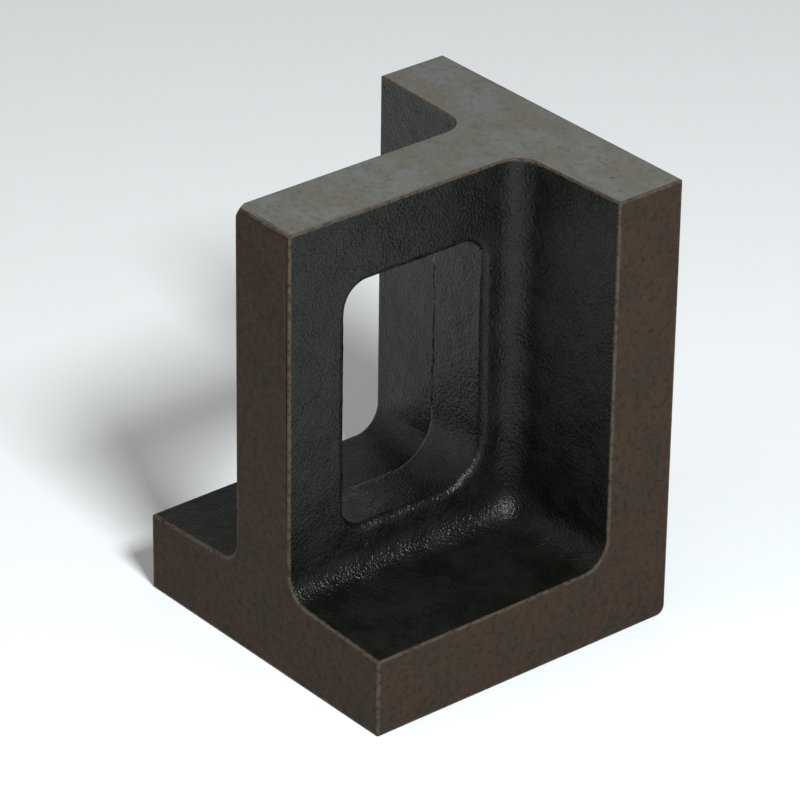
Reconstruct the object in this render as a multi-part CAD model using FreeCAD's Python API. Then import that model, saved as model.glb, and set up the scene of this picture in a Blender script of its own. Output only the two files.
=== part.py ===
import FreeCAD, Part
import os
from math import radians, sqrt, tan

# Webbed angle plate, cast in grey iron as one piece and machined on its six outer
# planes.  A base and an upright wall meet at the back, and one central web stiffens
# them.  The web is pierced by a cast window, and a drafted pocket lies each side of it.
#
# Millimetres.  +X runs along the wall, +Y from the web's front end to the wall's
# back, +Z up.  The origin is on the ground plane, at the middle of the footprint.

V = FreeCAD.Vector

# Outer block
HEIGHT = 100.0            # base's underside to the wall's top
WIDTH = 74.0              # along the wall, between the two side planes
DEPTH = 76.6              # web's front end to the wall's back

# Walls of the casting
BASE_AT_SIDE = 17.4       # base thickness at its two side planes
WALL_AT_SIDE = 16.6       # wall thickness at its two side planes
WEB_THICKNESS = 17.1      # web, its two faces parallel
DRAFT_DEG = 2.4           # lift of the pocket floors and wall faces towards the web

# Inner corners of the pockets
FLOOR_CORNER_R = 6.0      # between a pocket's floor and its wall face
WEB_FILLET_R = 5.6        # round the web's foot and its back

# Window through the web
POST_DEPTH = 14.4         # web left standing in front of the window
RAIL_HEIGHT = 15.9        # web left above the window
SILL_LAND = 0.8           # flat web between foot fillet and rim, at the lower end
JAMB_LAND = 1.4           # flat web between back fillet and rim
SILL_FALL = 2.2           # the sill drops this much from the +X to the -X face
UPPER_CORNER_R = 5.5      # the window's two upper corners
FRONT_FOOT_R = 6.0        # its lower corner at the post
BACK_FOOT_R = 10.0        # its lower corner at the wall
RIM_R = 1.6               # rounded rim of the window, on both faces

# Finish of the machined edges
HEEL_R = 2.0              # base's bottom back edge
EDGE_BREAK_R = 0.4        # every other machined edge
WORN_CORNER = (2.4, 3.2, 3.4)     # set-back along X, Y and Z, web's top front -X corner
KNOCKED_CORNER = (1.0, 1.2, 1.1)  # the same at its +X corner
CORNER_BULGE = 1.6        # the smaller, the fuller these two corners are rounded

OVERRUN = 2.0             # cutters stand this far outside the block
CORNER_REACH = 2.3        # width of a worn corner's cutter, in set-backs
TINY = 1e-4               # for telling whether an edge lies in a plane
SHARP_DEG = 20            # edges that turn more than this are broken


def rise_at_web():
    """Extra thickness of base and wall where they reach the web's faces."""
    return (WIDTH - WEB_THICKNESS) / 2 * tan(radians(DRAFT_DEG))


def outer_block():
    corner = V(-WIDTH / 2, -DEPTH / 2, 0)
    return Part.makeBox(WIDTH, DEPTH, HEIGHT, corner)


def prism(one, other):
    """Flat-sided solid between two outlines across X, both listed from +Y round to +Z."""
    low, high = sorted([one, other], key=lambda outline: outline[0].x)
    count = len(high)
    sides = [high, low[::-1]]
    for i in range(count):
        j = (i + 1) % count
        sides.append([high[j], high[i], low[i], low[j]])
    faces = [Part.Face(Part.makePolygon(points + points[:1])) for points in sides]
    return Part.Solid(Part.Shell(faces))


def edge_between(shape, start, end):
    """The shape's straight edge with these two ends."""
    middle = (start + end) / 2
    along = end - start
    for edge in shape.Edges:
        near = edge.CenterOfMass.distanceToPoint(middle) < TINY
        if near and abs(edge.Length - along.Length) < TINY:
            return edge


def pocket_section(side, distance):
    """Sharp corners of a pocket, in a plane at this distance from the middle of the web."""
    lift = (WIDTH / 2 - distance) * tan(radians(DRAFT_DEG))
    x = side * distance
    front = -DEPTH / 2 - OVERRUN
    top = HEIGHT + OVERRUN
    floor = BASE_AT_SIDE + lift
    wall = DEPTH / 2 - WALL_AT_SIDE - lift
    return [V(x, front, floor), V(x, wall, floor), V(x, wall, top), V(x, front, top)]


def pocket(side):
    """The space on one side of the web, with the fillets that run round the web."""
    near_web = pocket_section(side, WEB_THICKNESS / 2)
    outside = pocket_section(side, WIDTH / 2 + OVERRUN)
    space = prism(near_web, outside)
    floor_corner = edge_between(space, near_web[1], outside[1])
    space = space.makeFillet(FLOOR_CORNER_R, [floor_corner])
    rounded = [e for e in space.Edges if follows_web(e, side)]
    return space.makeFillet(WEB_FILLET_R, rounded)


def follows_web(edge, side):
    """True for the floor, corner and wall edges that lie in the web's face."""
    box = edge.BoundBox
    plane = side * WEB_THICKNESS / 2
    in_face = abs(box.XMin - plane) < TINY and abs(box.XMax - plane) < TINY
    at_front = box.YMax < -DEPTH / 2
    at_top = box.ZMin > HEIGHT
    return in_face and not at_front and not at_top


def window_limits():
    """Front, back, top and lowest sill of the window, all at its sharp corners."""
    front = -DEPTH / 2 + POST_DEPTH
    wall = WALL_AT_SIDE + rise_at_web()
    back = DEPTH / 2 - wall - WEB_FILLET_R - JAMB_LAND - RIM_R
    top = HEIGHT - RAIL_HEIGHT
    base = BASE_AT_SIDE + rise_at_web()
    low_sill = base + WEB_FILLET_R + SILL_LAND + RIM_R
    return front, back, top, low_sill


def window_section(x):
    """Sharp corners of the window in the plane at x, on a sill that slopes along X."""
    front, back, top, low_sill = window_limits()
    sill = low_sill + SILL_FALL * (0.5 + x / WEB_THICKNESS)
    return [V(x, front, sill), V(x, back, sill), V(x, back, top), V(x, front, top)]


def window():
    """Cutter for the window, its four long edges rounded."""
    reach = WEB_THICKNESS / 2 + OVERRUN
    near = window_section(reach)
    far = window_section(-reach)
    opening = prism(near, far)
    corner_radii = [FRONT_FOOT_R, BACK_FOOT_R, UPPER_CORNER_R, UPPER_CORNER_R]
    for start, end, radius in zip(near, far, corner_radii):
        corner = edge_between(opening, start, end)
        opening = opening.makeFillet(radius, [corner])
    return opening


def rim_edges(shape):
    """Edges of the window in the web's two faces."""
    front, back, top, low_sill = window_limits()
    rims = []
    for edge in shape.Edges:
        box = edge.BoundBox
        in_face = box.XLength < TINY and abs(abs(box.XMin) - WEB_THICKNESS / 2) < TINY
        in_span = box.YMin > front - TINY and box.YMax < back + TINY
        in_rise = box.ZMin > low_sill - TINY and box.ZMax < top + TINY
        if in_face and in_span and in_rise:
            rims.append(edge)
    return rims


def heel_edge(shape):
    for edge in shape.Edges:
        box = edge.BoundBox
        if box.YMin > DEPTH / 2 - TINY and box.ZMax < TINY:
            return edge


def on_outer_plane(edge):
    box = edge.BoundBox
    flat_x = box.XLength < TINY and abs(abs(box.XMin) - WIDTH / 2) < TINY
    flat_y = box.YLength < TINY and abs(abs(box.YMin) - DEPTH / 2) < TINY
    flat_z = box.ZLength < TINY and min(abs(box.ZMin), abs(box.ZMin - HEIGHT)) < TINY
    return flat_x or flat_y or flat_z


def normal_on(face, point):
    u, v = face.Surface.parameter(point)
    return face.normalAt(u, v)


def is_sharp(shape, edge):
    """True where the two faces beside an edge meet at a real angle."""
    faces = shape.ancestorsOfType(edge, Part.Face)
    middle = edge.valueAt((edge.FirstParameter + edge.LastParameter) / 2)
    first = normal_on(faces[0], middle)
    second = normal_on(faces[1], middle)
    return first.getAngle(second) > radians(SHARP_DEG)


def break_edges(shape):
    sharp = [e for e in shape.Edges if on_outer_plane(e) and is_sharp(shape, e)]
    return shape.makeFillet(EDGE_BREAK_R, sharp)


def corner_cutter(vertex, inward, set_backs):
    """What wear takes off a block corner: all that lies outside a ball.

    The ball crosses each of the corner's three edges at its own set-back.
    """
    k = CORNER_BULGE * max(set_backs) * min(set_backs)
    offsets = [(k + s * s) / (2 * s) for s in set_backs]
    radius = sqrt(sum(o * o for o in offsets) - k)
    centre = vertex + V(*[i * o for i, o in zip(inward, offsets)])
    size = CORNER_REACH * max(set_backs)
    around = Part.makeBox(size, size, size, vertex - V(size, size, size) / 2)
    return around.cut(Part.makeSphere(radius, centre))


def wear_corners(shape):
    """Round the two top front corners of the web."""
    x = WEB_THICKNESS / 2
    y = -DEPTH / 2
    worn = corner_cutter(V(-x, y, HEIGHT), (1, 1, -1), WORN_CORNER)
    knocked = corner_cutter(V(x, y, HEIGHT), (-1, 1, -1), KNOCKED_CORNER)
    return shape.cut([worn, knocked])


def angle_plate():
    casting = outer_block().cut([pocket(1), pocket(-1), window()])
    casting = casting.makeFillet(RIM_R, rim_edges(casting))
    casting = casting.makeFillet(HEEL_R, [heel_edge(casting)])
    casting = break_edges(casting)
    return wear_corners(casting)


def only_solid(shape):
    solids = shape.Solids
    if len(solids) != 1:
        raise ValueError("the casting must be one solid")
    return solids[0]


os.makedirs("parts", exist_ok=True)
plate = only_solid(angle_plate())
plate.exportStep("parts/angle_plate.step")
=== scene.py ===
from math import cos, radians, sin

import bmesh
import bpy
from mathutils import Matrix, Vector, noise


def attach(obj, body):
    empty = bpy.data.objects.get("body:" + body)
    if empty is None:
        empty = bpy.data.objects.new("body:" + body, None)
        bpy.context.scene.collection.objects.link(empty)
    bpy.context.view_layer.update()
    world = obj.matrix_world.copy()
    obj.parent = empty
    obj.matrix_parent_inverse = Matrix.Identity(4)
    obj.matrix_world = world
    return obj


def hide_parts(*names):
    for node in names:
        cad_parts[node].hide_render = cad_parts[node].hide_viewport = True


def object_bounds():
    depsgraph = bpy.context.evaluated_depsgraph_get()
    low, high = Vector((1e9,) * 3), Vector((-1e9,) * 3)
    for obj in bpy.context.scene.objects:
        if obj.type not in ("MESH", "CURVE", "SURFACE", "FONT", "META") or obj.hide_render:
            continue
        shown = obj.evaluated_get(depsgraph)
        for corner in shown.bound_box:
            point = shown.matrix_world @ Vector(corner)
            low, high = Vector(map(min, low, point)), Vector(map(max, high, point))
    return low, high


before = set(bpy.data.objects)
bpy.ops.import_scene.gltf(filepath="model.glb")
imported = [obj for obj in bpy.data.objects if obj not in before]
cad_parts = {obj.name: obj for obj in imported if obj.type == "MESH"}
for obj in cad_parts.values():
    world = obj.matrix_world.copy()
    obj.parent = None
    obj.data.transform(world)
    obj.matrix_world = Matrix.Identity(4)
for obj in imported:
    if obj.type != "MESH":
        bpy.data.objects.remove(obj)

cad_low, cad_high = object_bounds()


# The casting
#
# One piece of grey iron, sand cast and then machined on its six outer planes.  Its
# pockets and its window keep the skin of the mould, painted black; the planes are
# bare and brown with age, and every edge between them is lightly broken and rubbed.

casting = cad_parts["angle_plate"].copy()
casting.data = casting.data.copy()
casting.name = "webbed_casting"
casting.data.name = "webbed_casting"
bpy.context.scene.collection.objects.link(casting)

MM = 0.001
EDGE_BREAK = 0.4 * MM
HEEL = 2.0 * MM
WORN_REACH = 3.6 * MM
WEB_HALF = 8.55 * MM
RUBBED = 0.45 * MM
SKIN_SPACING = 0.9 * MM
LUMP_FADE = 1.5 * MM
ON_PLANE = 0.002 * MM
WELD = 0.005 * MM
SQUARE_ON = 0.999

SIDE_PLANE, TOP_PLANE, BROKEN_EDGE, CAST_SKIN = range(4)

shell = bmesh.new()
shell.from_mesh(casting.data)
bmesh.ops.remove_doubles(shell, verts=shell.verts, dist=WELD)


def depth_in_block(point):
    """Distance from a point to the nearest outer plane of the block."""
    below = min(point[i] - cad_low[i] for i in range(3))
    above = min(cad_high[i] - point[i] for i in range(3))
    return min(below, above)


def finish_of(face):
    """Which of the casting's finishes a face has."""
    centre = face.calc_center_median()
    if max(depth_in_block(v.co) for v in face.verts) < ON_PLANE:
        if max(abs(c) for c in face.normal) > SQUARE_ON:
            return TOP_PLANE if face.normal.z > 0.9 else SIDE_PLANE
    if depth_in_block(centre) < EDGE_BREAK:
        return BROKEN_EDGE
    if cad_high.y - centre.y < HEEL and centre.z < HEEL:
        return BROKEN_EDGE
    # The web's two knocked corners, between its sides, at the top of its front.
    at_front = centre.y - cad_low.y < WORN_REACH
    at_top = cad_high.z - centre.z < WORN_REACH
    if at_front and at_top and abs(centre.x) < WEB_HALF - 0.02 * MM:
        return BROKEN_EDGE
    return CAST_SKIN


for face in shell.faces:
    face.material_index = finish_of(face)

# A narrow margin round each plane, over which the rub of its edge fades out.
planes = [f for f in shell.faces if f.material_index in (SIDE_PLANE, TOP_PLANE)]
bmesh.ops.inset_region(shell, faces=planes, thickness=RUBBED, use_even_offset=True)


def edges_to_halve():
    """The skin's long edges that are the longest of every triangle of skin they bound."""
    chosen = []
    for edge in shell.edges:
        length = edge.calc_length()
        if length < SKIN_SPACING:
            continue
        skin = [f for f in edge.link_faces if f.material_index == CAST_SKIN]
        rivals = [e.calc_length() for f in skin for e in f.edges if e is not edge]
        if skin and max(rivals) <= 1.0001 * length:
            chosen.append(edge)
    return chosen


# The skin is cut finer, so that it can take the lumps that sand leaves.
halved = edges_to_halve()
while halved:
    bmesh.ops.subdivide_edges(shell, edges=halved, cuts=1, use_single_edge=True)
    halved = edges_to_halve()

# How far each point is rubbed: fully on a broken edge, fading out beside it.
shell.normal_update()
rub = shell.verts.layers.float.new("rub")
for vert in shell.verts:
    kinds = {f.material_index for f in vert.link_faces}
    depth = depth_in_block(vert.co)
    if BROKEN_EDGE in kinds:
        vert[rub] = 1.0
    elif CAST_SKIN in kinds:
        vert[rub] = max(0.0, 1.0 - (depth - EDGE_BREAK) / RUBBED)

# Lumps of three sizes: (size, height) in millimetres.
LUMPS = ((9.0, 0.16), (3.6, 0.09), (2.0, 0.06))
for vert in shell.verts:
    inward = (depth_in_block(vert.co) - EDGE_BREAK) / LUMP_FADE
    if inward > 0.0:
        fade = min(1.0, inward)
        swell = sum(h * noise.noise(vert.co / (size * MM)) for size, h in LUMPS)
        vert.co += vert.normal * (swell * fade * MM)

# Nothing stands proud of the planes that the block was machined to.
for vert in shell.verts:
    inside = [min(max(vert.co[i], cad_low[i]), cad_high[i]) for i in range(3)]
    vert.co = Vector(inside)

for face in shell.faces:
    face.smooth = face.material_index not in (SIDE_PLANE, TOP_PLANE)


def add(tree, kind, feeds, **settings):
    """A shader node, each of its sockets fed by a value or by another node's output."""
    made = tree.nodes.new("ShaderNode" + kind)
    for name, setting in settings.items():
        setattr(made, name, setting)
    for name, feed in feeds.items():
        if isinstance(feed, bpy.types.NodeSocket):
            tree.links.new(feed, made.inputs[name])
        else:
            made.inputs[name].default_value = feed
    return made


def sum_of(tree, a, b, operation="ADD"):
    """One number made from two."""
    return add(tree, "Math", {0: a, 1: b}, operation=operation).outputs[0]


def grain(tree, place, size, detail=2.0, roughness=0.5):
    """Noise whose lumps have the given size in metres."""
    made = add(tree, "TexNoise", {"Vector": place, "Scale": 1.0 / size, "Detail": detail,
                                  "Roughness": roughness})
    return made.outputs["Fac"]


def step(tree, value, low, high, least=0.0, most=1.0):
    """The value, spread smoothly from one range over another."""
    made = add(tree, "MapRange", {0: value, 1: low, 2: high, 3: least, 4: most},
               interpolation_type="SMOOTHSTEP")
    return made.outputs[0]


def srgb(red, green, blue):
    """A colour given in the 0 to 255 of a paint chart."""
    parts = [c / 255 for c in (red, green, blue)]
    return [c / 12.92 if c < 0.04045 else ((c + 0.055) / 1.055) ** 2.4 for c in parts] + [1.0]


def blend(tree, share, first, second):
    """A share of the second colour over the first."""
    made = add(tree, "Mix", {0: share, 6: first, 7: second}, data_type="RGBA")
    return made.outputs[2]


def near(tree, place, spots, radius, soft=0.4):
    """1 inside small round spots on the surface, 0 outside them."""
    total = 0.0
    for spot in spots:
        gap = add(tree, "VectorMath", {0: place, 1: Vector(spot) * MM}, operation="DISTANCE")
        inside = step(tree, gap.outputs["Value"], radius, radius * (1 + soft), 1.0, 0.0)
        total = sum_of(tree, total, inside, "MAXIMUM")
    return total


def bare_iron(name, base, dark, pale, patches, sheen, gloss):
    """Machined iron gone brown: mottled, lightly pitted, and paler where its edges rub."""
    made = bpy.data.materials.new(name)
    made.use_nodes = True
    tree = made.node_tree
    shader = tree.nodes["Principled BSDF"]
    place = add(tree, "TexCoord", {}).outputs["Object"]
    # Mottle: broad patches, darker clouds in them, and fine pale flecks.
    fine = grain(tree, place, 0.35 * MM, 2.0, 0.6)
    middling = grain(tree, place, 1.6 * MM, 3.0, 0.6)
    broad = grain(tree, place, 9.0 * MM, 3.0, 0.55)
    colour = blend(tree, step(tree, broad, 0.35, 0.65), base, patches)
    colour = blend(tree, step(tree, middling, 0.45, 0.75, 0.0, 0.8), colour, dark)
    colour = blend(tree, step(tree, fine, 0.5, 0.75, 0.0, 0.7), colour, pale)
    # Blow holes: a scatter of small ones, and the few deep ones.
    pits = add(tree, "TexVoronoi", {"Vector": place, "Scale": 1.0 / (2.6 * MM)})
    pit = step(tree, pits.outputs["Distance"], 0.05, 0.09, 1.0, 0.0)
    some = step(tree, grain(tree, place, 2.2 * MM, 0.0), 0.52, 0.58)
    pit = sum_of(tree, pit, some, "MULTIPLY")
    pit = sum_of(tree, pit, near(tree, place, DEEP_PITS, 0.28 * MM), "MAXIMUM")
    colour = blend(tree, sum_of(tree, pit, 0.75, "MULTIPLY"), colour, srgb(24, 20, 16))
    # Rubbed edges, in patches, are paler and smoother.
    rubbed = add(tree, "Attribute", {}, attribute_name="rub").outputs["Fac"]
    patchy = sum_of(tree, rubbed, step(tree, grain(tree, place, 1.1 * MM), 0.3, 0.6, -0.55, 0.0))
    worn = step(tree, patchy, 0.35, 1.0)
    colour = blend(tree, sum_of(tree, worn, 0.3, "MULTIPLY"), colour, srgb(104, 96, 84))
    tree.links.new(colour, shader.inputs["Base Color"])
    rough = step(tree, middling, 0.3, 0.7, sheen, sheen + 0.12)
    rough = sum_of(tree, rough, sum_of(tree, worn, 0.18, "MULTIPLY"), "SUBTRACT")
    tree.links.new(rough, shader.inputs["Roughness"])
    shader.inputs["Specular IOR Level"].default_value = gloss
    height = sum_of(tree, fine, sum_of(tree, pit, 2.0, "MULTIPLY"), "SUBTRACT")
    bump = add(tree, "Bump", {"Height": height, "Distance": 0.02 * MM, "Strength": 1.0})
    tree.links.new(bump.outputs["Normal"], shader.inputs["Normal"])
    return made


# Places of the few marks deep enough to be seen, in millimetres.
DEEP_PITS = (
    (27.7, 27.9, 100.0),
    (-1.1, -38.3, 69.5),
    (37.0, -14.7, 19.6),
)

side_iron = bare_iron("brown_iron", srgb(50, 41, 33), srgb(37, 30, 24), srgb(66, 56, 46),
                      srgb(57, 43, 34), 0.55, 0.06)
# The top plane takes the same brown iron painted lighter and greyer, as painted light from above
# and a painted cool reflection, over its own mottle and brown patches.
top_iron_painted_lit = bare_iron("painted_lighter_top_iron", srgb(100, 101, 97), srgb(84, 78, 70), srgb(112, 113, 110),
                     srgb(96, 91, 82), 0.5, 0.25)

skin_paint = bpy.data.materials.new("painted_cast_skin")
skin_paint.use_nodes = True
tree = skin_paint.node_tree
shader = tree.nodes["Principled BSDF"]
place = add(tree, "TexCoord", {}).outputs["Object"]
# Sand prints through the paint as grains, with finer grit on them.
sand = grain(tree, place, 0.62 * MM, 2.0, 0.5)
grit = grain(tree, place, 0.25 * MM, 1.0, 0.5)
tone = grain(tree, place, 7.0 * MM, 3.0, 0.6)
colour = blend(tree, step(tree, tone, 0.35, 0.65), srgb(12, 13, 9), srgb(20, 22, 17))
colour = blend(tree, step(tree, sand, 0.35, 0.2), colour, srgb(8, 8, 6))
# A little rust shows through, and the paint is chipped beside the edges.
fleck = step(tree, grain(tree, place, 0.8 * MM, 1.0), 0.66, 0.78, 0.0, 0.4)
colour = blend(tree, fleck, colour, srgb(58, 44, 30))
rubbed = add(tree, "Attribute", {}, attribute_name="rub").outputs["Fac"]
chipped = sum_of(tree, rubbed, step(tree, sand, 0.35, 0.6, -0.5, 0.0))
colour = blend(tree, step(tree, chipped, 0.3, 0.9, 0.0, 0.4), colour, srgb(90, 85, 75))
tree.links.new(colour, shader.inputs["Base Color"])
tree.links.new(step(tree, tone, 0.3, 0.7, 0.24, 0.32), shader.inputs["Roughness"])
shader.inputs["Specular IOR Level"].default_value = 0.3
height = sum_of(tree, sand, sum_of(tree, grit, 0.25, "MULTIPLY"))
bump = add(tree, "Bump", {"Height": height, "Distance": 0.30 * MM, "Strength": 1.0})
tree.links.new(bump.outputs["Normal"], shader.inputs["Normal"])

# The finishes, in the order of their numbers.
casting.data.materials.clear()
for finish in (side_iron, top_iron_painted_lit, side_iron, skin_paint):
    casting.data.materials.append(finish)
shell.to_mesh(casting.data)
shell.free()

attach(casting, "root")
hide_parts("angle_plate")


# The floor
#
# A sheet of white card, matt and wide enough to fill the view from every side.

card = bmesh.new()
bmesh.ops.create_grid(card, x_segments=1, y_segments=1, size=3.0)
floor = bpy.data.objects.new("floor", bpy.data.meshes.new("floor"))
card.to_mesh(floor.data)
card.free()
bpy.context.scene.collection.objects.link(floor)
white_card = bpy.data.materials.new("white_card")
white_card.use_nodes = True
shader = white_card.node_tree.nodes["Principled BSDF"]
shader.inputs["Base Color"].default_value = (0.93, 0.93, 0.93, 1.0)
shader.inputs["Roughness"].default_value = 0.9
shader.inputs["Specular IOR Level"].default_value = 0.1
floor.data.materials.append(white_card)


# The studio
#
# A pale room, a cool softbox high at the right and a broad, dim one at the front left.

room = bpy.data.worlds.new("pale_room")
bpy.context.scene.world = room
room.use_nodes = True
tree = room.node_tree
walls = tree.nodes["Background"]
walls.inputs["Color"].default_value = (1.0, 1.0, 1.0, 1.0)
walls.inputs["Strength"].default_value = 0.25


def softbox(name, toward, distance, width, power, colour):
    """A square lamp that hangs in the given direction and faces the casting."""
    lamp = bpy.data.lights.new(name, "AREA")
    lamp.size = width
    lamp.energy = power
    lamp.color = colour
    hung = bpy.data.objects.new(name, lamp)
    away = Vector(toward).normalized()
    hung.rotation_euler = away.to_track_quat("Z", "Y").to_euler()
    hung.location = away * distance + Vector((0.0, 0.0, cad_high.z / 2))
    bpy.context.scene.collection.objects.link(hung)


softbox("key_softbox", (0.66, -0.20, 0.72), 0.8, 0.17, 8.0, (0.90, 0.97, 1.0))
softbox("fill_softbox", (-0.35, -0.80, 0.50), 0.9, 0.6, 1.6, (1.0, 0.98, 0.95))


# The camera
#
# A long lens well back and above, turned towards the plate's front right edge.

CAMERA_DISTANCE = 1.0122
PLATE_TO_RIGHT = 0.0022
PLATE_RAISED = 0.00232
azimuth, elevation, roll = radians(50.147), radians(28.914), radians(0.783)
back = Vector((sin(azimuth) * cos(elevation), -cos(azimuth) * cos(elevation), sin(elevation)))
level = Vector((cos(azimuth), sin(azimuth), 0.0))
upward = back.cross(level)
right = cos(roll) * level + sin(roll) * upward
up = cos(roll) * upward - sin(roll) * level
lens = bpy.data.cameras.new("camera")
lens.sensor_width = 36.0
lens.lens = 224.575
camera = bpy.data.objects.new("camera", lens)
middle = Vector((0.0, 0.0, cad_high.z / 2))
stand = middle - PLATE_TO_RIGHT * right - PLATE_RAISED * up + CAMERA_DISTANCE * back
camera.matrix_world = Matrix.Translation(stand) @ Matrix((right, up, back)).transposed().to_4x4()
bpy.context.scene.collection.objects.link(camera)
bpy.context.scene.camera = camera
bpy.context.scene.view_settings.view_transform = "Standard"
